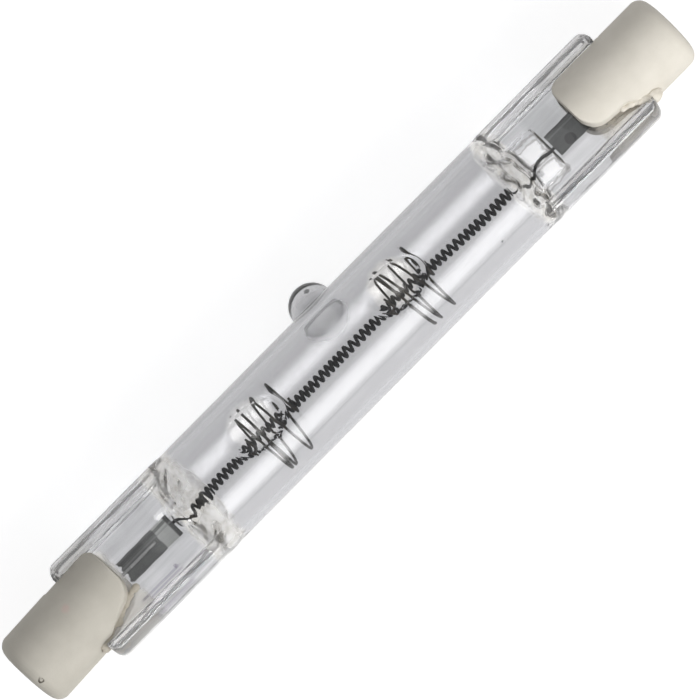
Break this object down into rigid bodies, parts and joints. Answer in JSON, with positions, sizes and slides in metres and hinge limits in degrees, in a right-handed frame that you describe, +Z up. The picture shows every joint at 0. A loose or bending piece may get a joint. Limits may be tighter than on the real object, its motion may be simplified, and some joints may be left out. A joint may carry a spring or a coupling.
{
  "type": "linear halogen lamp",
  "caption": "Double-ended linear halogen lamp: clear quartz tube with coiled filament, pinched ends, sealed exhaust tip and slotted ceramic caps with recessed contacts.",
  "frame": {"origin": "middle of the lamp's axis, halfway between the outer ends of the two ceramic caps", "axes": "+X along the lamp's axis, out through the right-hand contact; +Z up as the lamp lies on its tube and exhaust tip, square to the flat ends; the exhaust tip points to +Y and down"},
  "size_m": [0.0782, 0.0126, 0.01],
  "materials": {
    "quartz": "clear polished fused quartz",
    "tungsten": "dark drawn tungsten wire",
    "molybdenum": "dull grey rolled molybdenum",
    "cap_ceramic": "unglazed warm ivory steatite",
    "contact_metal": "nickel plated, slightly dulled",
    "cement": "rough cream ceramic cement"
  },
  "bodies": {
    "root": {"quartz_envelope": "quartz", "filament": "tungsten", "filament_support_left": "tungsten", "filament_support_right": "tungsten", "foil_left": "molybdenum", "foil_right": "molybdenum", "outer_lead_left": "molybdenum", "outer_lead_right": "molybdenum", "ceramic_cap_left": "cap_ceramic", "ceramic_cap_right": "cap_ceramic", "contact_left": "contact_metal", "contact_right": "contact_metal", "cement_left": "cement", "cement_right": "cement"}
  },
  "joints": []
}
